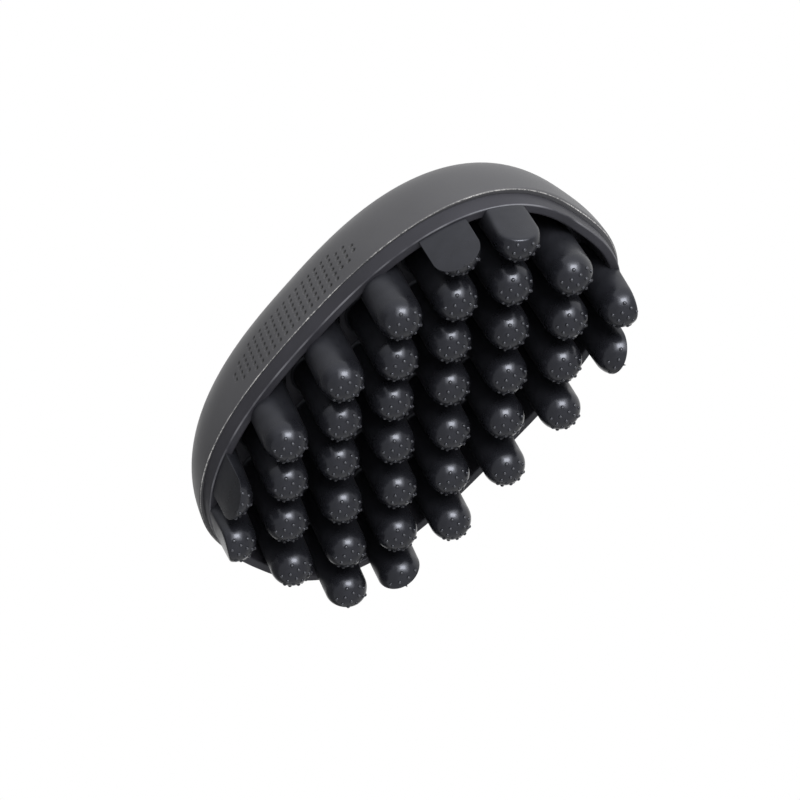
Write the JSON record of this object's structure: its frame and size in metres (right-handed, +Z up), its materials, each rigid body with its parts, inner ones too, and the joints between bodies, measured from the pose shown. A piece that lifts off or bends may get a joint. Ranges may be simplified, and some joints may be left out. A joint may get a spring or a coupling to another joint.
{
  "type": "scalp massager brush",
  "caption": "Palm-held scalp massager brush: domed oval back shell over a recessed tray of staggered, round-tipped soft fingers.",
  "frame": {"origin": "under the middle of the brush, on the surface that the outer finger tips stand on", "axes": "+X along the length of the brush, +Y across it, +Z up from the finger tips to the crown of the back"},
  "size_m": [0.1276, 0.0768, 0.0537],
  "materials": {
    "shell": "satin moulded charcoal plastic",
    "plate": "plain moulded black plastic",
    "tray": "satin moulded black elastomer",
    "finger": "satin black elastomer with glossy domed tips"
  },
  "bodies": {
    "root": {"back_shell": "shell", "carrier_plate": "plate", "finger_tray": "tray", "finger_a1": "finger", "finger_a2": "finger", "finger_a3": "finger", "finger_a4": "finger", "finger_a5": "finger", "finger_b1": "finger", "finger_b2": "finger", "finger_b3": "finger", "finger_b4": "finger", "finger_b5": "finger", "finger_b6": "finger", "finger_c1": "finger", "finger_c2": "finger", "finger_c3": "finger", "finger_c4": "finger", "finger_c5": "finger", "finger_d1": "finger", "finger_d2": "finger", "finger_d3": "finger", "finger_d4": "finger", "finger_d5": "finger", "finger_d6": "finger", "finger_e1": "finger", "finger_e2": "finger", "finger_e3": "finger", "finger_e4": "finger", "finger_e5": "finger", "finger_f1": "finger", "finger_f2": "finger", "finger_f3": "finger", "finger_f4": "finger", "finger_f5": "finger", "finger_f6": "finger", "finger_g1": "finger", "finger_g2": "finger", "finger_g3": "finger", "finger_g4": "finger", "finger_g5": "finger"}
  },
  "joints": []
}
